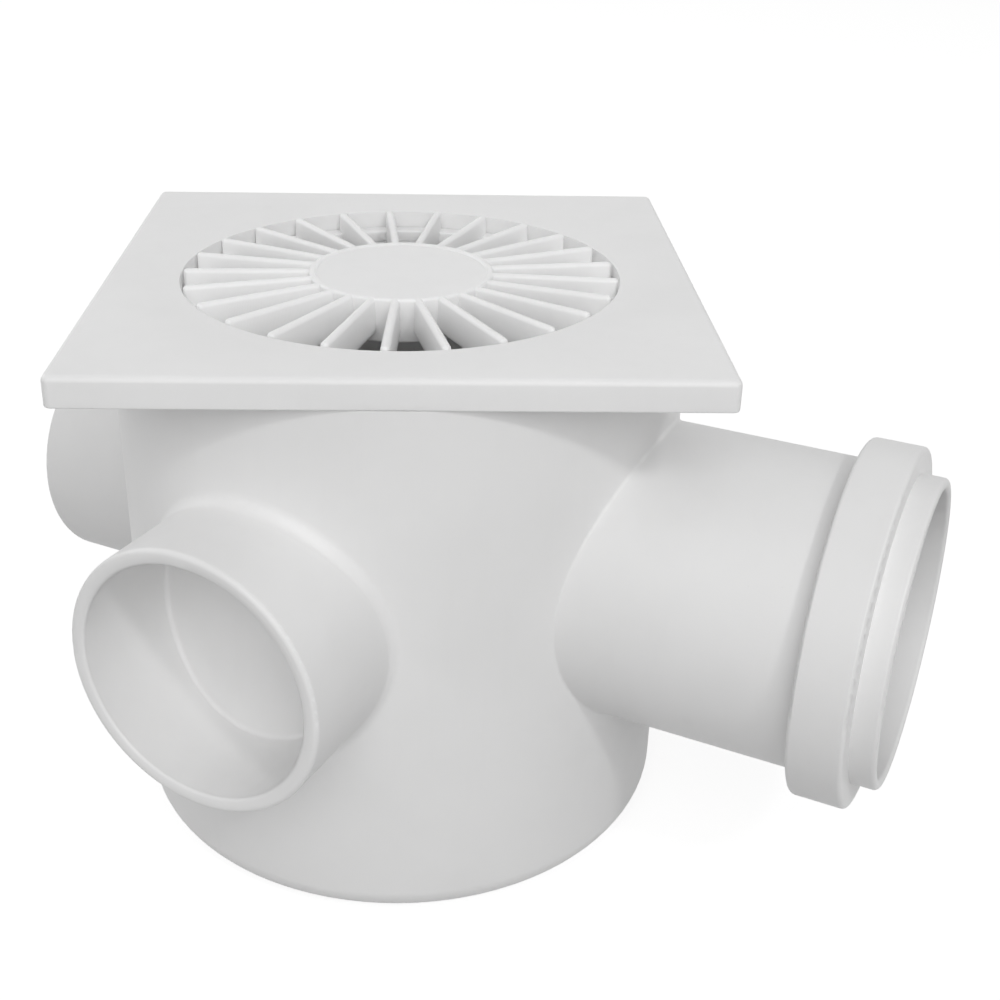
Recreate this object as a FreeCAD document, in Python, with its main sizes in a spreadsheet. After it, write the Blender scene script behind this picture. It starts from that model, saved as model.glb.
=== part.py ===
"""Gully trap: a round pot with one ring-seal outlet and three inlets, under a square cover with a grate.

Millimetres. The origin is the centre of the pot's foot, +Z is up and the outlet points along +X. The pot's wall
runs on behind each inlet and closes it: it is cut out on site where an inlet is used.
"""
import FreeCAD, Part
import math
import os
import Sketcher
from FreeCAD import Placement, Rotation, Vector

DRIVING_SIZES = {
    # cover frame
    "cover_side": 160.0,
    "cover_edge_height": 8.0,
    "cover_plate_thickness": 3.0,
    "cover_skirt_wall": 2.5,
    "cover_corner_round": 2.0,
    "cover_edge_round": 1.6,
    "cover_foot_round": 0.5,
    "cover_turn_angle": 27.65,
    "dish_radius": 74.0,
    "dish_fall": 0.8,
    "neck_length": 22.0,
    "neck_wall": 2.5,
    "neck_clearance": 0.3,
    "collar_inset": 0.8,
    "well_wall": 2.5,
    "ledge_width": 6.0,
    "ledge_thickness": 2.8,
    # grate
    "grate_radius": 60.0,
    "grate_clearance": 0.5,
    "grate_depth": 9.0,
    "grate_ring_width": 4.5,
    "grate_ring_height": 3.5,
    "grate_phase_angle": 8.26,
    "rib_count": 25,
    "rib_width": 2.4,
    "hub_radius": 25.6,
    "hub_wall": 2.6,
    "hub_depth": 12.0,
    "disc_thickness": 3.0,
    "disc_recess": 0.5,
    "disc_rim_width": 1.6,
    # pot
    "pot_height": 152.0,
    "pot_mouth_radius": 80.0,
    "pot_draft": 1.6,
    "pot_wall": 4.0,
    "pot_floor": 4.0,
    "pot_foot_round": 8.0,
    "pot_inner_round": 5.0,
    "mouth_depth": 25.0,
    "port_drop": 66.0,
    # outlet
    "outlet_pipe_radius": 37.5,
    "outlet_pipe_clearance": 0.3,
    "outlet_wall": 4.0,
    "outlet_lip_wall": 3.2,
    "outlet_projection": 70.5,
    "outlet_lip_length": 6.5,
    "outlet_bead_length": 14.0,
    "outlet_bead_height": 6.0,
    "outlet_socket_depth": 55.0,
    "outlet_inner_radius": 34.5,
    "outlet_edge_round": 1.2,
    "outlet_root_round": 1.0,
    "ring_groove_radius": 44.0,
    "ring_groove_wall": 2.5,
    "ring_clearance": 0.1,
    # inlets
    "inlet_pipe_radius": 31.5,
    "inlet_pipe_clearance": 0.15,
    "inlet_wall": 4.35,
    "inlet_projection": 25.5,
    "inlet_socket_depth": 23.0,
    "inlet_taper_length": 12.0,
    "inlet_taper": 1.0,
    "inlet_rim_round": 1.4,
    "inlet_root_round": 4.0,
    "inlet_inner_round": 1.2,
    "lead_in": 1.0,
    # dip elbow and its rodding plug
    "elbow_wall": 2.4,
    "elbow_clearance": 0.3,
    "elbow_wall_gap": 3.9,
    "elbow_bend_radius": 38.0,
    "elbow_leg_foot": 14.0,
    "elbow_end_gap": 4.5,
    "elbow_seal_inset": 12.5,
    "elbow_seal_width": 5.0,
    "elbow_seal_depth": 2.5,
    "rod_bore_radius": 20.5,
    "rod_boss_wall": 3.0,
    "rod_boss_reach": 3.8,
    "plug_clearance": 0.3,
    "plug_length": 12.0,
    "plug_wall": 4.0,
    "plug_flange": 2.5,
    "plug_grip_height": 9.0,
    "plug_grip_thickness": 3.0,
    "plug_grip_width": 26.0,
    "plug_ring_width": 2.4,
    "plug_ring_depth": 1.6,
    "plug_ring_start": 4.0,
}

doc = FreeCAD.newDocument("gully_trap")
sheet = doc.addObject("Spreadsheet::Sheet", "Sizes")
for row, (alias, number) in enumerate(DRIVING_SIZES.items(), 1):
    sheet.set(f"A{row}", alias)
    sheet.set(f"B{row}", str(number))
    sheet.setAlias(f"B{row}", alias)
doc.recompute()


class Size:
    """A length that carries its value and the sheet expression that gives it."""

    def __init__(self, value, text):
        self.value = value
        self.text = text

    def __add__(self, other):
        other = as_size(other)
        return Size(self.value + other.value, f"({self.text} + {other.text})")

    def __sub__(self, other):
        other = as_size(other)
        return Size(self.value - other.value, f"({self.text} - {other.text})")

    def __mul__(self, other):
        other = as_size(other)
        return Size(self.value * other.value, f"({self.text} * {other.text})")

    def __truediv__(self, other):
        other = as_size(other)
        return Size(self.value / other.value, f"({self.text} / {other.text})")

    def __neg__(self):
        return Size(-self.value, f"(0 - {self.text})")


def as_size(number):
    return number if isinstance(number, Size) else Size(float(number), repr(float(number)))


def size(alias):
    return Size(float(sheet.get(alias)), f"Sizes.{alias}")


ZERO = as_size(0)
OVERCUT = as_size(1)
NEAR = 0.01
PARALLEL = 0.999
POINTS_PER_EDGE = 7

# levels, from the pot's foot upwards
pot_top = size("pot_height")
cover_top = pot_top + size("cover_edge_height")
plate_underside = cover_top - size("cover_plate_thickness")
port_level = pot_top - size("port_drop")

# radii that pieces share
pot_mouth = size("pot_mouth_radius")
pot_foot = pot_mouth - size("pot_draft")
mouth_bore = pot_mouth - size("pot_wall")
chamber_foot = pot_foot - size("pot_wall") - size("neck_clearance")
chamber_top = mouth_bore - size("neck_clearance")
neck_outer = mouth_bore - size("neck_clearance")
well_radius = size("grate_radius") + size("grate_clearance")
outlet_bore = size("outlet_pipe_radius") + size("outlet_pipe_clearance")
outlet_outer = outlet_bore + size("outlet_wall")
inlet_bore = size("inlet_pipe_radius") + size("inlet_pipe_clearance")
inlet_outer = inlet_bore + size("inlet_wall")
inlet_end = pot_mouth + size("inlet_projection")
inlet_stop = inlet_end - size("inlet_socket_depth")
inlet_taper_end = inlet_stop - size("inlet_taper_length")
outlet_end = pot_mouth + size("outlet_projection")
lip_start = outlet_end - size("outlet_lip_length")
bead_start = lip_start - size("outlet_bead_length")
socket_stop = outlet_end - size("outlet_socket_depth")
elbow_outer = size("outlet_inner_radius") - size("elbow_clearance")
elbow_bore = elbow_outer - size("elbow_wall")
elbow_leg = chamber_foot - size("elbow_wall_gap") - elbow_outer
elbow_bend = elbow_leg + size("elbow_bend_radius")
elbow_end = socket_stop - size("elbow_end_gap")
elbow_seal_start = socket_stop - size("elbow_seal_inset")
elbow_seal_end = elbow_seal_start + size("elbow_seal_width")
rod_boss_end = elbow_leg - elbow_outer - size("rod_boss_reach")

# any place well inside the pot's wall, where the ports' profiles begin
port_root = pot_foot / 2


def new_body(label):
    body = doc.addObject("PartDesign::Body", label)
    body.Label = label
    return body


def origin_feature(body, role):
    return next(item for item in body.Origin.OriginFeatures if item.Role == role)


def new_sketch(body, name, plane, offset=ZERO):
    """A sketch on one of the body's own origin planes, moved along that plane's normal."""
    sketch = body.newObject("Sketcher::SketchObject", name)
    sketch.AttachmentSupport = [(origin_feature(body, plane), "")]
    sketch.MapMode = "FlatFace"
    sketch.AttachmentOffset = Placement(Vector(0, 0, offset.value), Rotation())
    if offset is not ZERO:
        sketch.setExpression("AttachmentOffset.Base.z", offset.text)
    return sketch


def drive(sketch, constraint, size_value):
    """Adds a dimension and binds it to its expression."""
    index = sketch.addConstraint(constraint)
    sketch.setExpression(f"Constraints[{index}]", size_value.text)


def pin(sketch, edge, end, across, up):
    """Places one point of the sketch; a zero coordinate lies on the sketch's own axis."""
    for kind, axis, coordinate in (("DistanceX", -2, across), ("DistanceY", -1, up)):
        if coordinate is ZERO:
            sketch.addConstraint(Sketcher.Constraint("PointOnObject", edge, end, axis))
        else:
            drive(sketch, Sketcher.Constraint(kind, -1, 1, edge, end, coordinate.value), coordinate)


def outline(sketch, corners):
    """A closed outline of straight runs through the corners."""
    corners = [(as_size(a) if a is not ZERO else a, as_size(b) if b is not ZERO else b) for a, b in corners]
    first = sketch.GeometryCount
    points = [Vector(a.value, b.value, 0) for a, b in corners]
    for index, point in enumerate(points):
        sketch.addGeometry(Part.LineSegment(point, points[(index + 1) % len(points)]), False)
    for index, (across, up) in enumerate(corners):
        following = first + (index + 1) % len(corners)
        sketch.addConstraint(Sketcher.Constraint("Coincident", first + index, 2, following, 1))
        pin(sketch, first + index, 1, across, up)


def circle(sketch, radius, across=ZERO, up=ZERO):
    centre = Vector(across.value, up.value, 0)
    edge = sketch.addGeometry(Part.Circle(centre, Vector(0, 0, 1), radius.value), False)
    drive(sketch, Sketcher.Constraint("Radius", edge, radius.value), radius)
    pin(sketch, edge, 3, across, up)


def axis_line(sketch, level, length):
    """A construction line at one level, which the port profiles turn about."""
    start = Vector(0, level.value, 0)
    edge = sketch.addGeometry(Part.LineSegment(start, Vector(length.value, level.value, 0)), True)
    pin(sketch, edge, 1, ZERO, level)
    pin(sketch, edge, 2, length, level)


def add_feature(body, kind, name, **properties):
    feature = body.newObject(f"PartDesign::{kind}", name)
    for key, value in properties.items():
        setattr(feature, key, value)
    body.Tip = feature
    doc.recompute()
    return feature


def extrude(body, kind, sketch, length, backwards=False):
    feature = add_feature(body, kind, f"{sketch.Name}_{kind.lower()}", Profile=sketch, Length=length.value,
                          Reversed=backwards)
    feature.setExpression("Length", length.text)
    doc.recompute()
    return feature


def turn(body, kind, sketch, axis="V_Axis", angle=360.0):
    return add_feature(body, kind, f"{sketch.Name}_{kind.lower()}", Profile=sketch,
                       ReferenceAxis=(sketch, [axis]), Angle=angle)


def repeat_about_z(body, features, angle, count):
    return add_feature(body, "PolarPattern", f"{features[0].Name}_pattern", Originals=features,
                       Axis=(origin_feature(body, "Z_Axis"), [""]), Angle=angle, Occurrences=count)


def round_edges(body, name, radius, chosen):
    """Rounds the edges of the body's present shape that the test picks."""
    base = body.Tip
    names = [f"Edge{index}" for index, edge in enumerate(base.Shape.Edges, 1) if chosen(edge)]
    if not names:
        raise RuntimeError(f"{body.Label}: no edge found for {name}")
    feature = add_feature(body, "Fillet", name, Base=(base, names), Radius=radius.value)
    feature.setExpression("Radius", radius.text)
    doc.recompute()
    return feature


def samples(edge):
    return edge.discretize(POINTS_PER_EDGE)


def is_ring(edge, centre, normal, radius):
    """True for a round edge with this centre, normal and radius."""
    curve = edge.Curve
    return (isinstance(curve, Part.Circle) and abs(curve.Radius - radius.value) < NEAR
            and curve.Center.distanceToPoint(centre) < NEAR and abs(curve.Axis.dot(normal)) > PARALLEL)


def on_port_root(edge, directions, smallest, largest):
    """True for the edge where a port's wall, between these radii, meets the pot's outside."""
    for direction in directions:
        side = Vector(-direction.y, direction.x, 0)
        if all(point.dot(direction) > 0
               and smallest.value - NEAR < Vector(point.dot(side), point.z - port_level.value, 0).Length
               < largest.value + NEAR
               and abs(Vector(point.x, point.y, 0).Length - pot_foot.value) < size("pot_draft").value + NEAR
               for point in samples(edge)):
            return True
    return False


def make_pot():
    """The one-piece pot: round body, outlet socket with its ring bead, and three equal inlet sockets."""
    body = new_body("pot")
    sketch = new_sketch(body, "pot_outside", "XZ_Plane")
    outline(sketch, [(ZERO, ZERO), (pot_foot, ZERO), (pot_mouth, pot_top), (ZERO, pot_top)])
    turn(body, "Revolution", sketch)

    sketch = new_sketch(body, "outlet_outside", "XZ_Plane")
    axis_line(sketch, port_level, outlet_end)
    outer = port_level + outlet_outer
    bead = outer + size("outlet_bead_height")
    lip = port_level + outlet_bore + size("outlet_lip_wall")
    outline(sketch, [(ZERO, port_level), (outlet_end, port_level), (outlet_end, lip), (lip_start, lip),
                     (lip_start, bead), (bead_start, bead), (bead_start, outer), (ZERO, outer)])
    turn(body, "Revolution", sketch, "Axis0")

    sketch = new_sketch(body, "inlet_tube", "YZ_Plane")
    axis_line(sketch, port_level, inlet_end)
    outer = port_level + inlet_outer
    bore = port_level + inlet_bore
    root = bore - size("inlet_taper")
    outline(sketch, [(port_root, outer), (port_root, root), (inlet_taper_end, root), (inlet_stop, bore),
                     (inlet_end - size("lead_in"), bore), (inlet_end, bore + size("lead_in")), (inlet_end, outer)])
    inlet = turn(body, "Revolution", sketch, "Axis0")
    repeat_about_z(body, [inlet], 180.0, 3)

    inlet_ways = [Vector(0, 1, 0), Vector(-1, 0, 0), Vector(0, -1, 0)]
    round_edges(body, "inlet_roots", size("inlet_root_round"),
                lambda edge: on_port_root(edge, inlet_ways, inlet_outer, inlet_outer))
    round_edges(body, "inlet_inner_roots", size("inlet_inner_round"),
                lambda edge: on_port_root(edge, inlet_ways, inlet_bore - size("inlet_taper"), inlet_bore))
    round_edges(body, "outlet_root", size("outlet_root_round"),
                lambda edge: on_port_root(edge, [Vector(1, 0, 0)], outlet_outer, outlet_outer))
    round_edges(body, "pot_foot_edge", size("pot_foot_round"),
                lambda edge: is_ring(edge, Vector(0, 0, 0), Vector(0, 0, 1), pot_foot))
    round_edges(body, "inlet_rims", size("inlet_rim_round"),
                lambda edge: any(is_ring(edge, way * inlet_end.value + Vector(0, 0, port_level.value),
                                         way, inlet_outer) for way in inlet_ways))
    bead_radius = outlet_outer + size("outlet_bead_height")
    lip_radius = outlet_bore + size("outlet_lip_wall")
    bead_rings = [(bead_start, bead_radius), (lip_start, bead_radius), (outlet_end, lip_radius)]
    round_edges(body, "outlet_edges", size("outlet_edge_round"),
                lambda edge: any(is_ring(edge, Vector(place.value, 0, port_level.value), Vector(1, 0, 0), radius)
                                 for place, radius in bead_rings))

    sketch = new_sketch(body, "chamber", "XZ_Plane")
    mouth_floor = pot_top - size("mouth_depth")
    outline(sketch, [(ZERO, size("pot_floor")), (chamber_foot, size("pot_floor")), (chamber_top, mouth_floor),
                     (mouth_bore, mouth_floor), (mouth_bore, pot_top + OVERCUT), (ZERO, pot_top + OVERCUT)])
    turn(body, "Groove", sketch)
    round_edges(body, "chamber_floor_edge", size("pot_inner_round"),
                lambda edge: is_ring(edge, Vector(0, 0, size("pot_floor").value), Vector(0, 0, 1), chamber_foot))

    sketch = new_sketch(body, "outlet_bore", "XZ_Plane")
    axis_line(sketch, port_level, outlet_end)
    narrow = port_level + size("outlet_inner_radius")
    wide = port_level + outlet_bore
    groove = port_level + size("ring_groove_radius")
    seal_floor = narrow + size("elbow_seal_depth")
    groove_start = bead_start + size("ring_groove_wall")
    groove_end = lip_start - size("ring_groove_wall")
    mouth = outlet_end + OVERCUT
    outline(sketch, [(port_root, port_level), (port_root, narrow), (elbow_seal_start, narrow),
                     (elbow_seal_start, seal_floor), (elbow_seal_end, seal_floor), (elbow_seal_end, narrow),
                     (socket_stop, narrow), (socket_stop, wide), (groove_start, wide), (groove_start, groove),
                     (groove_end, groove), (groove_end, wide), (outlet_end - size("lead_in"), wide),
                     (outlet_end, wide + size("lead_in")), (mouth, wide + size("lead_in")),
                     (mouth, port_level)])
    turn(body, "Groove", sketch, "Axis0")
    return body


def make_frame():
    """The square cover frame: hollow plate with a skirt, a neck for the pot and a well for the grate."""
    body = new_body("frame")
    half = size("cover_side") / 2
    sketch = new_sketch(body, "cover_plan", "XY_Plane", pot_top)
    outline(sketch, [(-half, -half), (half, -half), (half, half), (-half, half)])
    extrude(body, "Pad", sketch, size("cover_edge_height"))
    corner = size("cover_corner_round")
    round_edges(body, "cover_corners", corner,
                lambda edge: abs(edge.tangentAt(edge.FirstParameter).z) > PARALLEL)
    round_edges(body, "cover_top_edge", size("cover_edge_round"),
                lambda edge: all(abs(point.z - cover_top.value) < NEAR for point in samples(edge)))

    inner = half - size("cover_skirt_wall")
    sketch = new_sketch(body, "cover_hollow", "XY_Plane", pot_top)
    outline(sketch, [(-inner, -inner), (inner, -inner), (inner, inner), (-inner, inner)])
    extrude(body, "Pocket", sketch, size("cover_edge_height") - size("cover_plate_thickness"), backwards=True)
    round_edges(body, "cover_foot_edge", size("cover_foot_round"),
                lambda edge: all(abs(point.z - pot_top.value) < NEAR
                                 and max(abs(point.x), abs(point.y)) > (half - corner).value - NEAR
                                 for point in samples(edge)))

    sketch = new_sketch(body, "neck", "XZ_Plane")
    into_plate = plate_underside + size("cover_plate_thickness") / 3
    neck_inner = neck_outer - size("neck_wall")
    neck_foot = pot_top - size("neck_length")
    collar = half - size("collar_inset")
    outline(sketch, [(neck_inner, neck_foot), (neck_outer, neck_foot), (neck_outer, pot_top),
                     (collar, pot_top), (collar, into_plate), (neck_inner, into_plate)])
    turn(body, "Revolution", sketch)

    sketch = new_sketch(body, "well", "XZ_Plane")
    ledge_top = cover_top - size("grate_depth")
    ledge_foot = ledge_top - size("ledge_thickness")
    ledge_inner = well_radius - size("ledge_width")
    well_outer = well_radius + size("well_wall")
    outline(sketch, [(ledge_inner, ledge_foot), (well_outer, ledge_foot), (well_outer, into_plate),
                     (well_radius, into_plate), (well_radius, ledge_top), (ledge_inner, ledge_top)])
    turn(body, "Revolution", sketch)

    sketch = new_sketch(body, "dish", "XZ_Plane")
    outline(sketch, [(ZERO, ledge_top), (well_radius, ledge_top), (well_radius, cover_top - size("dish_fall")),
                     (size("dish_radius"), cover_top), (size("dish_radius"), cover_top + OVERCUT),
                     (ZERO, cover_top + OVERCUT)])
    turn(body, "Groove", sketch)
    body.Placement = Placement(Vector(), Rotation(Vector(0, 0, 1), size("cover_turn_angle").value))
    return body


def make_grate():
    """The round grate: centre disc on a hub, radial ribs with domed tips, and a ring under the tips."""
    body = new_body("grate")
    grate_foot = cover_top - size("grate_depth")
    hub_inner = size("hub_radius") - size("hub_wall")
    disc_top = cover_top - size("disc_recess")
    recess = size("hub_radius") - size("disc_rim_width")
    sketch = new_sketch(body, "hub", "XZ_Plane")
    hub_foot = cover_top - size("hub_depth")
    disc_foot = cover_top - size("disc_thickness")
    outline(sketch, [(ZERO, disc_foot), (hub_inner, disc_foot), (hub_inner, hub_foot),
                     (size("hub_radius"), hub_foot), (size("hub_radius"), cover_top), (recess, cover_top),
                     (recess - size("disc_recess"), disc_top), (ZERO, disc_top)])
    turn(body, "Revolution", sketch)
    round_edges(body, "hub_rim", size("disc_rim_width") / 3,
                lambda edge: is_ring(edge, Vector(0, 0, cover_top.value), Vector(0, 0, 1), size("hub_radius")))

    sketch = new_sketch(body, "tip_ring", "XZ_Plane")
    ring_inner = size("grate_radius") - size("grate_ring_width")
    ring_top = grate_foot + size("grate_ring_height")
    outline(sketch, [(ring_inner, grate_foot), (size("grate_radius"), grate_foot),
                     (size("grate_radius"), ring_top), (ring_inner, ring_top)])
    turn(body, "Revolution", sketch)

    half = size("rib_width") / 2
    shoulder = cover_top - half
    root = size("hub_radius") - size("hub_wall") / 2
    tip_centre = size("grate_radius") - half
    sketch = new_sketch(body, "rib", "YZ_Plane", root)
    left, right = Vector(-half.value, shoulder.value, 0), Vector(half.value, shoulder.value, 0)
    low_left, low_right = Vector(-half.value, grate_foot.value, 0), Vector(half.value, grate_foot.value, 0)
    crown = Vector(0, cover_top.value, 0)
    sketch.addGeometry(Part.LineSegment(low_left, low_right), False)
    sketch.addGeometry(Part.LineSegment(low_right, right), False)
    sketch.addGeometry(Part.Arc(right, crown, left), False)
    sketch.addGeometry(Part.LineSegment(left, low_left), False)
    sketch.addConstraint(Sketcher.Constraint("Coincident", 0, 2, 1, 1))
    sketch.addConstraint(Sketcher.Constraint("Coincident", 1, 2, 2, 1))
    sketch.addConstraint(Sketcher.Constraint("Coincident", 2, 2, 3, 1))
    sketch.addConstraint(Sketcher.Constraint("Coincident", 3, 2, 0, 1))
    pin(sketch, 0, 1, -half, grate_foot)
    pin(sketch, 0, 2, half, grate_foot)
    pin(sketch, 2, 3, ZERO, shoulder)
    for edge, end in ((1, 2), (3, 1)):
        drive(sketch, Sketcher.Constraint("DistanceY", -1, 1, edge, end, shoulder.value), shoulder)
    drive(sketch, Sketcher.Constraint("Radius", 2, half.value), half)
    rib = extrude(body, "Pad", sketch, tip_centre - root)

    sketch = new_sketch(body, "rib_tip", "XZ_Plane")
    sketch.addGeometry(Part.LineSegment(Vector(tip_centre.value, grate_foot.value, 0),
                                        Vector(tip_centre.value, cover_top.value, 0)), False)
    corner = Vector(tip_centre.value, shoulder.value, 0)
    bend = Part.ArcOfCircle(Part.Circle(corner, Vector(0, 0, 1), half.value), 0, math.pi / 2)
    sketch.addGeometry(bend, False)
    sketch.addGeometry(Part.LineSegment(Vector(tip_centre.value + half.value, shoulder.value, 0),
                                        Vector(tip_centre.value + half.value, grate_foot.value, 0)), False)
    sketch.addGeometry(Part.LineSegment(Vector(tip_centre.value + half.value, grate_foot.value, 0),
                                        Vector(tip_centre.value, grate_foot.value, 0)), False)
    sketch.addConstraint(Sketcher.Constraint("Coincident", 0, 2, 1, 2))
    sketch.addConstraint(Sketcher.Constraint("Coincident", 1, 1, 2, 1))
    sketch.addConstraint(Sketcher.Constraint("Coincident", 2, 2, 3, 1))
    sketch.addConstraint(Sketcher.Constraint("Coincident", 3, 2, 0, 1))
    pin(sketch, 0, 1, tip_centre, grate_foot)
    pin(sketch, 0, 2, tip_centre, cover_top)
    pin(sketch, 2, 1, tip_centre + half, shoulder)
    pin(sketch, 2, 2, tip_centre + half, grate_foot)
    drive(sketch, Sketcher.Constraint("Radius", 1, half.value), half)
    pivot = sketch.addGeometry(Part.LineSegment(Vector(tip_centre.value, 0, 0),
                                                Vector(tip_centre.value, grate_foot.value, 0)), True)
    pin(sketch, pivot, 1, tip_centre, ZERO)
    pin(sketch, pivot, 2, tip_centre, grate_foot)
    tip = turn(body, "Revolution", sketch, "Axis0")
    repeat_about_z(body, [rib, tip], 360.0, int(size("rib_count").value))
    turned = size("cover_turn_angle").value + size("grate_phase_angle").value
    body.Placement = Placement(Vector(), Rotation(Vector(0, 0, 1), turned))
    return body


def make_ring(label, plane, start, end, inner, outer, level):
    """A plain ring about a port's axis."""
    body = new_body(label)
    sketch = new_sketch(body, f"{label}_section", plane)
    axis_line(sketch, level, end)
    outline(sketch, [(start, level + inner), (end, level + inner), (end, level + outer), (start, level + outer)])
    turn(body, "Revolution", sketch, "Axis0")
    return body


def make_outlet_seal():
    play = size("ring_clearance")
    start = bead_start + size("ring_groove_wall") + play
    end = lip_start - size("ring_groove_wall") - play
    return make_ring("outlet_seal", "XZ_Plane", start, end, outlet_bore, size("ring_groove_radius") - play,
                     port_level)


def make_elbow_seal():
    play = size("ring_clearance")
    outer = size("outlet_inner_radius") + size("elbow_seal_depth") - play
    return make_ring("elbow_seal", "XZ_Plane", elbow_seal_start + play, elbow_seal_end - play,
                     elbow_outer + play, outer, port_level)


def elbow_run(body, name, radius, joined):
    """The elbow's leg, quarter bend and spigot at one radius: as solid, or cut out of it."""
    straight, bent = ("Pad", "Revolution") if joined else ("Pocket", "Groove")
    bend_level = port_level - size("elbow_bend_radius")
    foot = size("elbow_leg_foot")
    sketch = new_sketch(body, f"{name}_leg", "XY_Plane", foot)
    circle(sketch, radius, elbow_leg, ZERO)
    extrude(body, straight, sketch, bend_level - foot, backwards=not joined)

    sketch = new_sketch(body, f"{name}_bend", "XY_Plane", bend_level)
    circle(sketch, radius, elbow_leg, ZERO)
    pivot = sketch.addGeometry(Part.LineSegment(Vector(elbow_bend.value, 0, 0),
                                                Vector(elbow_bend.value, radius.value, 0)), True)
    pin(sketch, pivot, 1, elbow_bend, ZERO)
    pin(sketch, pivot, 2, elbow_bend, radius)
    turn(body, bent, sketch, "Axis0", 90.0)

    sketch = new_sketch(body, f"{name}_spigot", "YZ_Plane", elbow_bend)
    circle(sketch, radius, ZERO, port_level)
    extrude(body, straight, sketch, elbow_end - elbow_bend, backwards=not joined)


def make_trap_elbow():
    """The dip elbow: its spigot sits in the outlet, its leg dips below the outlet's invert."""
    body = new_body("trap_elbow")
    elbow_run(body, "elbow_outside", elbow_outer, True)
    sketch = new_sketch(body, "rod_boss", "YZ_Plane", rod_boss_end)
    circle(sketch, size("rod_bore_radius") + size("rod_boss_wall"), ZERO, port_level)
    extrude(body, "Pad", sketch, elbow_leg - rod_boss_end)
    elbow_run(body, "elbow_inside", elbow_bore, False)
    sketch = new_sketch(body, "rod_bore", "YZ_Plane", rod_boss_end)
    circle(sketch, size("rod_bore_radius"), ZERO, port_level)
    extrude(body, "Pocket", sketch, elbow_leg - rod_boss_end, backwards=True)
    return body


def make_cleaning_plug():
    """The push-in plug of the rodding opening, with its ring groove and a grip bar."""
    body = new_body("cleaning_plug")
    shank = size("rod_bore_radius") - size("plug_clearance")
    face = rod_boss_end
    inner_end = face + size("plug_length")
    ring_start = face + size("plug_ring_start")
    ring_end = ring_start + size("plug_ring_width")
    flange = size("rod_bore_radius") + size("rod_boss_wall")
    groove = shank - size("plug_ring_depth")
    hollow = shank - size("plug_wall")
    back = face - size("plug_flange")
    sketch = new_sketch(body, "plug_section", "XZ_Plane")
    axis_line(sketch, port_level, outlet_end)
    outline(sketch, [(back, port_level), (back, port_level + flange), (face, port_level + flange),
                     (face, port_level + shank), (ring_start, port_level + shank),
                     (ring_start, port_level + groove), (ring_end, port_level + groove),
                     (ring_end, port_level + shank), (inner_end, port_level + shank),
                     (inner_end, port_level + hollow), (face, port_level + hollow), (face, port_level)])
    turn(body, "Revolution", sketch, "Axis0")

    sketch = new_sketch(body, "plug_grip", "YZ_Plane", back)
    wide = size("plug_grip_width") / 2
    thick = size("plug_grip_thickness") / 2
    outline(sketch, [(-wide, port_level - thick), (wide, port_level - thick), (wide, port_level + thick),
                     (-wide, port_level + thick)])
    extrude(body, "Pad", sketch, size("plug_grip_height"), backwards=True)
    return body


def make_plug_seal():
    play = size("ring_clearance")
    start = rod_boss_end + size("plug_ring_start")
    shank = size("rod_bore_radius") - size("plug_clearance")
    return make_ring("plug_seal", "XZ_Plane", start + play, start + size("plug_ring_width") - play,
                     shank - size("plug_ring_depth") + play, size("rod_bore_radius") - play, port_level)


bodies = [make_pot(), make_frame(), make_grate(), make_outlet_seal(), make_trap_elbow(), make_elbow_seal(),
          make_cleaning_plug(), make_plug_seal()]
doc.recompute()

for item in doc.Objects:
    if {"Invalid", "Error"} & set(item.State):
        raise RuntimeError(f"{item.Name} failed: {item.State}")
for body in bodies:
    if body.Shape.isNull() or not body.Shape.isValid() or len(body.Shape.Solids) != 1:
        raise RuntimeError(f"{body.Label} isn't one valid solid")

os.makedirs("parts", exist_ok=True)
for body in bodies:
    body.Shape.exportStep(os.path.join("parts", f"{body.Label}.step"))
    print(body.Label, "volume", round(body.Shape.Volume), "box", body.Shape.BoundBox)
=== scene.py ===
"""Looks of the gully trap: white moulded PVC, black rubber rings, a pale floor and a soft studio."""

import math

import bmesh
import bpy
from mathutils import Matrix, Vector


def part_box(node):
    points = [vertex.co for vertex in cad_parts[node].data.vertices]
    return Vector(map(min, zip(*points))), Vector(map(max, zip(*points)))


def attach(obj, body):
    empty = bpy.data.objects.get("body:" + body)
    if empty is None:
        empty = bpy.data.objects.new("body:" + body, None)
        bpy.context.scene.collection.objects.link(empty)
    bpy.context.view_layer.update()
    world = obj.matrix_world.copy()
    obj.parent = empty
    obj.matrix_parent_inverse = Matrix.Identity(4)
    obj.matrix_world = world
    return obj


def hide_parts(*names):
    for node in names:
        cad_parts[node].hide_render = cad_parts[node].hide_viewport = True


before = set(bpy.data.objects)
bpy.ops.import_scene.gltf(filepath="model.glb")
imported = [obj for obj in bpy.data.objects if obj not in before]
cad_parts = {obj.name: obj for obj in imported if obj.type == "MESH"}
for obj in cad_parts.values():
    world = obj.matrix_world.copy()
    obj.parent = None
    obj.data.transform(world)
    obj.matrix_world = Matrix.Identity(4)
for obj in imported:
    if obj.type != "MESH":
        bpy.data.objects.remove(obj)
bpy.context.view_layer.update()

MM = 0.001

# the photograph's view: a camera in front of the cover's edge, looking down on it
EYE = Vector((183.3, -331.3, 283.4)) * MM
VIEW_HEADING = math.radians(-26.06)
VIEW_PITCH = math.radians(24.98)
VIEW_ROLL = math.radians(1.03)
FOCAL_LENGTH = 51.27
SENSOR_WIDTH = 36.0
VIEW_SHIFT = (0.0329, -0.0572)
CLIP_RANGE = (0.01, 30.0)

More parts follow.
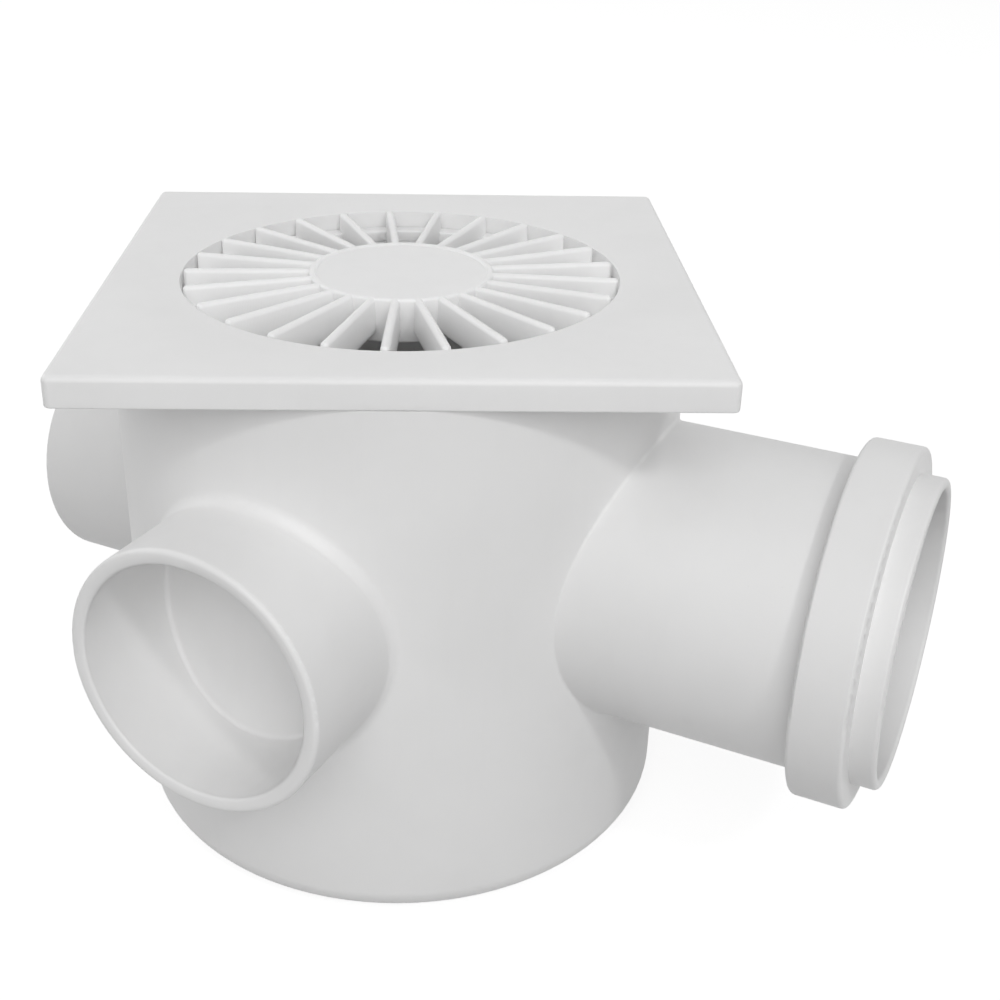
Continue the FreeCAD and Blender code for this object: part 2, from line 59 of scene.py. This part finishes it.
# the grate's sizes that its box doesn't give
RIB_COUNT = 25
RIB_WIDTH = 2.4 * MM
RIB_DRAFT = 0.25 * MM
RIB_END_SHARE = 0.02
COVER_TURN_DEGREES = 27.65
RIB_PHASE_DEGREES = 8.26
FIRST_RIB_ANGLE = math.radians(COVER_TURN_DEGREES + RIB_PHASE_DEGREES)
RIB_HEIGHT = 9.0 * MM
HUB_RADIUS = 25.6 * MM
HUB_WALL = 2.6 * MM
DISC_THICKNESS = 3.0 * MM
DISC_RECESS = 0.5 * MM
DISC_RIM_WIDTH = 1.6 * MM
RING_WIDTH = 4.5 * MM
RING_HEIGHT = 3.5 * MM

# the small rounds of the hub and the ring
UNDER_DISC_ROUND = 0.8 * MM
HUB_FOOT_ROUND = 0.4 * MM
HUB_RIM_ROUND = 0.75 * MM
RECESS_EDGE_ROUND = 0.3 * MM
RECESS_FLOOR_ROUND = 0.25 * MM
RING_FOOT_ROUND = 0.3 * MM
RING_OUTER_ROUND = 0.4 * MM
RING_INNER_ROUND = 0.6 * MM

# facets around a turned part
TURNED_SEGMENTS = 128


def pale(level, warmth=0.0):
    """A near-white grey; a positive warmth leans to yellow and a negative one to blue."""
    return (level * (1 + warmth), level, level * (1 - warmth), 1.0)


class Nodes:
    """Builds one node tree in short lines."""

    def __init__(self, tree):
        self.tree = tree

    def add(self, kind, **values):
        """A new node; each value sets one of its properties or feeds one of its input sockets."""
        node = self.tree.nodes.new(kind)
        for name, value in values.items():
            if hasattr(node, name):
                setattr(node, name, value)
            else:
                self.feed(node, name.replace("_", " "), value)
        return node

    def feed(self, node, socket, value):
        """Sets or links an input, found by its name or its number."""
        target = node.inputs[socket]
        if isinstance(value, bpy.types.NodeSocket):
            self.tree.links.new(value, target)
        else:
            target.default_value = value

    def math(self, operation, first, second=0.0):
        """Arithmetic on two numbers or sockets."""
        node = self.add("ShaderNodeMath", operation=operation)
        self.feed(node, 0, first)
        self.feed(node, 1, second)
        return node.outputs[0]

    def noise(self, place, scale, detail=3.0, roughness=0.5):
        """Soft noise from 0 to 1."""
        node = self.add("ShaderNodeTexNoise", Vector=place, Scale=scale, Detail=detail, Roughness=roughness)
        return node.outputs["Fac"]

    def remap(self, value, low, high, new_low, new_high, smooth=False):
        """Carries a value from one range to another, held at both ends."""
        node = self.add("ShaderNodeMapRange", interpolation_type="SMOOTHSTEP" if smooth else "LINEAR")
        for number, entry in enumerate((value, low, high, new_low, new_high)):
            self.feed(node, number, entry)
        return node.outputs[0]

    def blend(self, share, first, second):
        """A colour between two, by share."""
        node = self.add("ShaderNodeMix", data_type="RGBA")
        for name, entry in (("Factor_Float", share), ("A_Color", first), ("B_Color", second)):
            socket = next(item for item in node.inputs if item.identifier == name)
            if isinstance(entry, bpy.types.NodeSocket):
                self.tree.links.new(entry, socket)
            else:
                socket.default_value = entry
        return next(item for item in node.outputs if item.identifier == "Result_Color")

    def bump(self, height, distance, strength, under=None):
        """A normal bent by a height, on top of another where one is given."""
        node = self.add("ShaderNodeBump", Strength=strength, Distance=distance, Height=height)
        if under is not None:
            self.feed(node, "Normal", under)
        return node.outputs[0]


def new_material(name):
    """An empty material and the builder of its nodes."""
    material = bpy.data.materials.new(name)
    material.use_nodes = True
    material.node_tree.nodes.clear()
    return material, Nodes(material.node_tree)


# how far light spreads inside a thin wall
LIGHT_DEPTH = 2.5 * MM

STREAK_TINT = pale(0.70, 0.01)
DUST_TINT = pale(0.42, 0.03)


def moulded_pvc(name, colour, seed, roughness=0.46, translucence=0.0, tool_rings=0.0):
    """Moulded PVC: cloudy pigment, flow streaks, fine tool grain, dust specks and handling scuffs."""
    material, nodes = new_material(name)
    place = nodes.add("ShaderNodeTexCoord").outputs["Object"]
    own = nodes.add("ShaderNodeMapping", Vector=place, Location=(seed, 2 * seed, 3 * seed)).outputs[0]
    streaky = nodes.add("ShaderNodeMapping", Vector=own, Scale=(1.0, 1.0, 0.12)).outputs[0]

    clouds = nodes.noise(own, 16.0, 4.0, 0.55)
    streaks = nodes.noise(streaky, 210.0, 3.0, 0.6)
    specks = nodes.add("ShaderNodeTexVoronoi", Vector=own, Scale=420.0, Randomness=1.0).outputs["Distance"]
    speck_here = nodes.remap(specks, 0.03, 0.055, 1.0, 0.0)
    sparse = nodes.remap(nodes.noise(own, 95.0, 1.0), 0.60, 0.66, 0.0, 1.0)
    dust = nodes.math("MULTIPLY", speck_here, sparse)

    shade = nodes.remap(clouds, 0.3, 0.7, 0.0, 1.0, smooth=True)
    darker = tuple(0.955 * part for part in colour[:3]) + (1.0,)
    tinted = nodes.blend(shade, darker, colour)
    streaked = nodes.blend(nodes.remap(streaks, 0.55, 0.75, 0.0, 0.05), tinted, STREAK_TINT)
    dusty = nodes.blend(nodes.math("MULTIPLY", dust, 0.30), streaked, DUST_TINT)

    scuffs = nodes.remap(nodes.noise(streaky, 130.0, 6.0, 0.7), 0.58, 0.70, 0.0, 0.12)
    gloss = nodes.math("ADD", nodes.remap(clouds, 0.3, 0.7, roughness - 0.03, roughness + 0.04), scuffs)

    waviness = nodes.bump(nodes.noise(own, 24.0, 2.0), 0.0006, 0.25)
    grain = nodes.bump(nodes.noise(own, 1500.0, 2.0), 0.00004, 0.35, waviness)
    if tool_rings:
        across = nodes.add("ShaderNodeVectorMath", operation="MULTIPLY")
        nodes.feed(across, 0, place)
        nodes.feed(across, 1, (1.0, 1.0, 0.0))
        radius = nodes.add("ShaderNodeVectorMath", operation="LENGTH")
        nodes.feed(radius, 0, across.outputs[0])
        phase = nodes.math("MULTIPLY", radius.outputs["Value"], 2 * math.pi / tool_rings)
        rings = nodes.math("SINE", phase)
        grain = nodes.bump(rings, 0.00001, 0.3, grain)

    shader = nodes.add("ShaderNodeBsdfPrincipled", IOR=1.53, Subsurface_Weight=translucence,
                       Subsurface_Scale=LIGHT_DEPTH, Subsurface_Radius=(1.0, 1.0, 1.0))
    nodes.feed(shader, "Base Color", dusty)
    nodes.feed(shader, "Roughness", gloss)
    nodes.feed(shader, "Normal", grain)
    nodes.add("ShaderNodeOutputMaterial", Surface=shader.outputs[0])
    return material


def seal_rubber(name):
    """Black EPDM: matt, with a grey bloom and a little talc."""
    material, nodes = new_material(name)
    place = nodes.add("ShaderNodeTexCoord").outputs["Object"]
    bloom = nodes.remap(nodes.noise(place, 70.0, 4.0, 0.6), 0.4, 0.7, 0.0, 0.35, smooth=True)
    talc = nodes.remap(nodes.noise(place, 900.0, 2.0), 0.62, 0.72, 0.0, 0.25)
    base = nodes.blend(bloom, (0.022, 0.022, 0.024, 1.0), (0.055, 0.055, 0.058, 1.0))
    dusted = nodes.blend(talc, base, (0.20, 0.20, 0.20, 1.0))
    shader = nodes.add("ShaderNodeBsdfPrincipled", IOR=1.5)
    nodes.feed(shader, "Base Color", dusted)
    nodes.feed(shader, "Roughness", nodes.remap(bloom, 0.0, 0.35, 0.52, 0.70))
    nodes.feed(shader, "Normal", nodes.bump(nodes.noise(place, 1100.0, 3.0), 0.00006, 0.5))
    nodes.add("ShaderNodeOutputMaterial", Surface=shader.outputs[0])
    return material


def link_to_scene(obj):
    """Puts an object into the scene and hands it back."""
    bpy.context.scene.collection.objects.link(obj)
    return obj


def dress(obj, body, slot, *nodes):
    """Puts a finished piece on its body, in place of the nodes it stands for."""
    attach(obj, body)
    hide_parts(*nodes)


def plain_mesh(obj):
    """Turns the object's evaluated shape into its own mesh and clears its modifiers."""
    evaluated = obj.evaluated_get(bpy.context.evaluated_depsgraph_get())
    mesh = bpy.data.meshes.new_from_object(evaluated)
    obj.modifiers.clear()
    obj.data = mesh


def smooth_within(mesh, angle):
    """Shades the mesh smooth, with an edge kept crisp where its faces turn by more than the angle."""
    model = bmesh.new()
    model.from_mesh(mesh)
    for face in model.faces:
        face.smooth = True
    for edge in model.edges:
        edge.smooth = edge.is_manifold and edge.calc_face_angle(math.pi) < angle
    model.to_mesh(mesh)
    model.free()


def weigh_normals(obj):
    """Keeps flat faces flat up to the rounds beside them."""
    modifier = obj.modifiers.new("flat_faces", "WEIGHTED_NORMAL")
    modifier.mode = "FACE_AREA"
    modifier.keep_sharp = True


WELD_DISTANCE = 0.0005 * MM
CRISP_ANGLE = math.radians(50)


def welded_copy(node, name, material):
    """A copy of a node's mesh with its triangles joined, so that its curved faces shade as curves."""
    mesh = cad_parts[node].data.copy()
    mesh.name = name
    model = bmesh.new()
    model.from_mesh(mesh)
    bmesh.ops.remove_doubles(model, verts=model.verts, dist=WELD_DISTANCE)
    model.to_mesh(mesh)
    model.free()
    if mesh.has_custom_normals:
        mesh.attributes.remove(mesh.attributes["custom_normal"])
    smooth_within(mesh, CRISP_ANGLE)
    mesh.materials.clear()
    mesh.materials.append(material)
    piece = link_to_scene(bpy.data.objects.new(name, mesh))
    weigh_normals(piece)
    return piece


def rounded_section(corners, steps=5):
    """A closed outline through (radius, height, rounding) corners, each corner rounded by an arc."""
    points = []
    for index, (radius, height, rounding) in enumerate(corners):
        corner = Vector((radius, height))
        before = Vector(corners[index - 1][:2]) - corner
        after = Vector(corners[(index + 1) % len(corners)][:2]) - corner
        if rounding <= 0:
            points.append(corner)
            continue
        half = before.angle(after) / 2
        reach = rounding / math.tan(half)
        inward = (before.normalized() + after.normalized()).normalized()
        centre = corner + inward * (rounding / math.sin(half))
        start = corner + before.normalized() * reach - centre
        end = corner + after.normalized() * reach - centre
        swing = start.angle_signed(end)
        for step in range(steps + 1):
            turned = Matrix.Rotation(-swing * step / steps, 2) @ start
            points.append(centre + turned)
    return points


ON_AXIS = 1e-7


def turned_mesh(name, section, segments):
    """A solid of revolution about the vertical axis; a point at zero radius closes on the axis."""
    angles = [2 * math.pi * index / segments for index in range(segments)]
    model = bmesh.new()
    rings = []
    for radius, height in section:
        if radius < ON_AXIS:
            rings.append([model.verts.new((0.0, 0.0, height))])
            continue
        rings.append([model.verts.new((radius * math.cos(angle), radius * math.sin(angle), height))
                      for angle in angles])
    for first, second in zip(rings, rings[1:] + rings[:1]):
        for index in range(segments):
            quad = [first[index % len(first)], first[(index + 1) % len(first)],
                    second[(index + 1) % len(second)], second[index % len(second)]]
            corners = list(dict.fromkeys(quad))
            if len(corners) > 2:
                model.faces.new(corners)
    bmesh.ops.recalc_face_normals(model, faces=model.faces)
    mesh = bpy.data.meshes.new(name)
    model.to_mesh(mesh)
    model.free()
    return mesh


def rib_mesh(root, tip_centre, foot, top):
    """One rib along +X: sides with draft, a round crown and a domed tip."""
    half = RIB_WIDTH / 2
    crown_steps, tip_steps = 8, 6
    shoulder = top - half

    def section(shrink):
        """Half width and height pairs over the crown, from one foot to the other."""
        low = (half + RIB_DRAFT) * shrink
        arc = [math.pi * step / crown_steps for step in range(crown_steps + 1)]
        over = [(half * shrink * math.cos(angle), shoulder + half * shrink * math.sin(angle))
                for angle in arc]
        return [(low, foot)] + over + [(-low, foot)]

    stations = [(root, 1.0)]
    for step in range(tip_steps + 1):
        bend = math.pi / 2 * step / tip_steps
        stations.append((tip_centre + half * math.sin(bend), max(math.cos(bend), RIB_END_SHARE)))
    model = bmesh.new()
    rings = [[model.verts.new((along, across, up)) for across, up in section(shrink)]
             for along, shrink in stations]
    for first, second in zip(rings, rings[1:]):
        for index in range(len(first)):
            following = (index + 1) % len(first)
            model.faces.new([first[index], first[following], second[following], second[index]])
    model.faces.new(rings[0])
    model.faces.new(rings[-1])
    bmesh.ops.recalc_face_normals(model, faces=model.faces)
    mesh = bpy.data.meshes.new("rib")
    model.to_mesh(mesh)
    model.free()
    return mesh


def grate_tree(material):
    """Geometry nodes: a rib set out around the axis, and joined to the turned hub and ring as one body."""
    tree = bpy.data.node_groups.new("grate_ribs", "GeometryNodeTree")
    face = tree.interface
    face.new_socket("Turned parts", in_out="INPUT", socket_type="NodeSocketGeometry")
    rib_socket = face.new_socket("Rib", in_out="INPUT", socket_type="NodeSocketObject")
    count_socket = face.new_socket("Rib count", in_out="INPUT", socket_type="NodeSocketInt")
    angle_socket = face.new_socket("First rib angle", in_out="INPUT", socket_type="NodeSocketFloat")
    face.new_socket("Grate", in_out="OUTPUT", socket_type="NodeSocketGeometry")
    nodes = Nodes(tree)
    given = nodes.add("NodeGroupInput")
    places = nodes.add("GeometryNodePoints", Count=given.outputs["Rib count"])
    number = nodes.add("GeometryNodeInputIndex").outputs[0]
    pitch = nodes.math("DIVIDE", 2 * math.pi, given.outputs["Rib count"])
    angle = nodes.math("ADD", nodes.math("MULTIPLY", number, pitch), given.outputs["First rib angle"])
    turn = nodes.add("ShaderNodeCombineXYZ", Z=angle)
    rib = nodes.add("GeometryNodeObjectInfo", Object=given.outputs["Rib"])
    ribs = nodes.add("GeometryNodeInstanceOnPoints", Points=places.outputs[0],
                     Instance=rib.outputs["Geometry"], Rotation=turn.outputs[0])
    ribs = nodes.add("GeometryNodeRealizeInstances", Geometry=ribs.outputs[0])
    union = nodes.add("GeometryNodeMeshBoolean", operation="UNION", solver="EXACT")
    nodes.feed(union, "Self Intersection", True)
    tree.links.new(given.outputs["Turned parts"], union.inputs["Mesh 2"])
    tree.links.new(ribs.outputs[0], union.inputs["Mesh 2"])
    painted = nodes.add("GeometryNodeSetMaterial", Geometry=union.outputs[0], Material=material)
    result = nodes.add("NodeGroupOutput")
    tree.links.new(painted.outputs[0], result.inputs[0])
    return tree, {"rib": rib_socket, "count": count_socket, "angle": angle_socket}


def make_grate(material):
    """The ribbed grate: disc with a raised round rim on a deep hub, ribs, and the ring under their tips."""
    low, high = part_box("grate")
    radius, foot, top = high.x, high.z - RIB_HEIGHT, high.z
    hub_inner = HUB_RADIUS - HUB_WALL
    rim_inner = HUB_RADIUS - DISC_RIM_WIDTH
    hub = rounded_section([
        (0.0, top - DISC_THICKNESS, 0.0),
        (hub_inner, top - DISC_THICKNESS, UNDER_DISC_ROUND),
        (hub_inner, low.z, HUB_FOOT_ROUND),
        (HUB_RADIUS, low.z, HUB_FOOT_ROUND),
        (HUB_RADIUS, top, HUB_RIM_ROUND),
        (rim_inner, top, RECESS_EDGE_ROUND),
        (rim_inner - DISC_RECESS, top - DISC_RECESS, RECESS_FLOOR_ROUND),
        (0.0, top - DISC_RECESS, 0.0)])
    ring = rounded_section([
        (radius - RING_WIDTH, foot, RING_FOOT_ROUND),
        (radius, foot, RING_FOOT_ROUND),
        (radius, foot + RING_HEIGHT, RING_OUTER_ROUND),
        (radius - RING_WIDTH, foot + RING_HEIGHT, RING_INNER_ROUND)])
    turned = turned_mesh("moulded_grate", hub, TURNED_SEGMENTS)
    model = bmesh.new()
    model.from_mesh(turned)
    model.from_mesh(turned_mesh("ring", ring, TURNED_SEGMENTS))
    model.to_mesh(turned)
    model.free()
    grate = link_to_scene(bpy.data.objects.new("moulded_grate", turned))

    half = RIB_WIDTH / 2
    root = HUB_RADIUS - HUB_WALL / 2
    rib = bpy.data.objects.new("rib", rib_mesh(root, radius - half, foot, top))
    tree, sockets = grate_tree(material)
    modifier = grate.modifiers.new("ribs", "NODES")
    modifier.node_group = tree
    modifier[sockets["rib"].identifier] = rib
    modifier[sockets["count"].identifier] = RIB_COUNT
    modifier[sockets["angle"].identifier] = FIRST_RIB_ANGLE
    plain_mesh(grate)
    bpy.data.objects.remove(rib)
    smooth_within(grate.data, CRISP_ANGLE)
    weigh_normals(grate)
    dress(grate, "top", "grate_plastic", "grate")


def seen_ray(nodes):
    """1 for rays from the camera, in a reflection or through glass, and 0 for light between surfaces."""
    path = nodes.add("ShaderNodeLightPath")
    either = nodes.math("MAXIMUM", path.outputs["Is Camera Ray"], path.outputs["Is Glossy Ray"])
    return nodes.math("MAXIMUM", either, path.outputs["Is Transmission Ray"])


# the floor lies a hair below the pot's foot, so that neither shows through the other
FLOOR_HALF_WIDTH = 6.0
FLOOR_DROP = 0.1 * MM
FLOOR_ALBEDO = 0.40
FLOOR_SHADOW_SHARE = 0.7
FLOOR_LIT_LEVEL = 0.23


def make_floor():
    """A pale floor that reads as white paper and keeps a soft shadow."""
    corners = [(-1, -1), (1, -1), (1, 1), (-1, 1)]
    mesh = bpy.data.meshes.new("floor")
    points = [(x * FLOOR_HALF_WIDTH, y * FLOOR_HALF_WIDTH, -FLOOR_DROP) for x, y in corners]
    mesh.from_pydata(points, [], [(0, 1, 2, 3)])
    material, nodes = new_material("floor_paper")
    lit = nodes.add("ShaderNodeBsdfDiffuse", Color=pale(FLOOR_ALBEDO))
    shaded = nodes.add("ShaderNodeBsdfDiffuse", Color=pale(FLOOR_ALBEDO * FLOOR_SHADOW_SHARE))
    glow = nodes.add("ShaderNodeEmission", Color=pale(1.0),
                     Strength=1.0 - FLOOR_SHADOW_SHARE * FLOOR_LIT_LEVEL)
    seen = nodes.add("ShaderNodeAddShader")
    nodes.feed(seen, 0, shaded.outputs[0])
    nodes.feed(seen, 1, glow.outputs[0])
    chosen = nodes.add("ShaderNodeMixShader", Fac=seen_ray(nodes))
    nodes.feed(chosen, 1, lit.outputs[0])
    nodes.feed(chosen, 2, seen.outputs[0])
    nodes.add("ShaderNodeOutputMaterial", Surface=chosen.outputs[0])
    mesh.materials.append(material)
    link_to_scene(bpy.data.objects.new("floor", mesh))


AMBIENT = 0.41


def make_world():
    """White where it is seen, and a soft grey light elsewhere."""
    world = bpy.data.worlds.new("studio")
    bpy.context.scene.world = world
    world.use_nodes = True
    world.node_tree.nodes.clear()
    nodes = Nodes(world.node_tree)
    strength = nodes.remap(seen_ray(nodes), 0.0, 1.0, AMBIENT, 1.0)
    sky = nodes.add("ShaderNodeBackground", Color=pale(1.0), Strength=strength)
    nodes.add("ShaderNodeOutputWorld", Surface=sky.outputs[0])


def aim(obj, target):
    """Turns a lamp to face a point."""
    obj.rotation_mode = "QUATERNION"
    obj.rotation_quaternion = (Vector(target) - obj.location).to_track_quat("-Z", "Y")


LIT_POINT = (0.0, 0.0, 0.09)


def soft_box(name, place, width, height, power):
    """A rectangular lamp aimed at the middle of the trap and hidden from the camera."""
    lamp = bpy.data.lights.new(name, "AREA")
    lamp.shape = "RECTANGLE"
    lamp.size = width
    lamp.size_y = height
    lamp.energy = power
    obj = link_to_scene(bpy.data.objects.new(name, lamp))
    obj.location = place
    obj.visible_camera = False
    aim(obj, LIT_POINT)


def make_lights():
    """A small high lamp for the shadows' edges, a big soft box in front, and fills low, left and behind."""
    soft_box("key_lamp", (1.316, -0.854, 1.542), 0.16, 0.16, 5.8)
    soft_box("front_box", (0.75, -1.45, 1.25), 1.4, 1.1, 12.6)
    soft_box("low_box", (0.95, -1.75, 0.35), 1.6, 0.6, 1.9)
    soft_box("left_box", (-1.85, 0.10, 1.00), 1.2, 1.2, 7.7)
    soft_box("back_box", (-0.60, 1.50, 1.40), 1.6, 1.0, 2.0)


def make_camera():
    """The photograph's view."""
    ahead = Vector((math.sin(VIEW_HEADING) * math.cos(VIEW_PITCH),
                    math.cos(VIEW_HEADING) * math.cos(VIEW_PITCH),
                    -math.sin(VIEW_PITCH)))
    level = Vector((math.cos(VIEW_HEADING), -math.sin(VIEW_HEADING), 0.0))
    above = level.cross(ahead)
    right = level * math.cos(VIEW_ROLL) + above * math.sin(VIEW_ROLL)
    up = above * math.cos(VIEW_ROLL) - level * math.sin(VIEW_ROLL)
    lens = bpy.data.cameras.new("photo_view")
    lens.lens = FOCAL_LENGTH
    lens.sensor_width = SENSOR_WIDTH
    lens.shift_x, lens.shift_y = VIEW_SHIFT
    lens.clip_start, lens.clip_end = CLIP_RANGE
    camera = link_to_scene(bpy.data.objects.new("photo_view", lens))
    turn = Matrix((right, up, -ahead)).transposed()
    camera.matrix_world = Matrix.Translation(EYE) @ turn.to_4x4()
    bpy.context.scene.camera = camera


def main():
    """The dressed pieces, and the stage around them."""
    pot_pvc = moulded_pvc("pot_pvc", pale(0.87, 0.002), 0.0)
    cover_pvc = moulded_pvc("cover_pvc", pale(0.88, 0.001), 1.7, translucence=0.4)
    # the grate's white is set lighter than the same PVC on the pot: painted light that brightens the shaded
    # slots between its ribs
    grate_pvc_painted_light = moulded_pvc("grate_pvc_painted_light", pale(0.95, 0.001), 3.1, translucence=1.0, tool_rings=0.45 * MM)
    trap_pvc = moulded_pvc("trap_pvc", pale(0.90, 0.004), 4.3, roughness=0.50)
    rubber = seal_rubber("seal_rubber")

    copies = [
        ("pot", "moulded_pot", pot_pvc, "gully", "pot_plastic"),
        ("frame", "cover_frame", cover_pvc, "top", "cover_plastic"),
        ("trap_elbow", "dip_elbow", trap_pvc, "gully", "trap_plastic"),
        ("cleaning_plug", "rodding_plug", trap_pvc, "gully", "trap_plastic"),
        ("outlet_seal", "outlet_ring", rubber, "gully", "seal_rubber"),
        ("elbow_seal", "elbow_ring", rubber, "gully", "seal_rubber"),
        ("plug_seal", "plug_ring", rubber, "gully", "seal_rubber"),
    ]
    for node, name, material, body, slot in copies:
        dress(welded_copy(node, name, material), body, slot, node)
    make_grate(grate_pvc_painted_light)

    make_floor()
    make_world()
    make_lights()
    make_camera()
    bpy.context.scene.view_settings.view_transform = "Standard"


main()
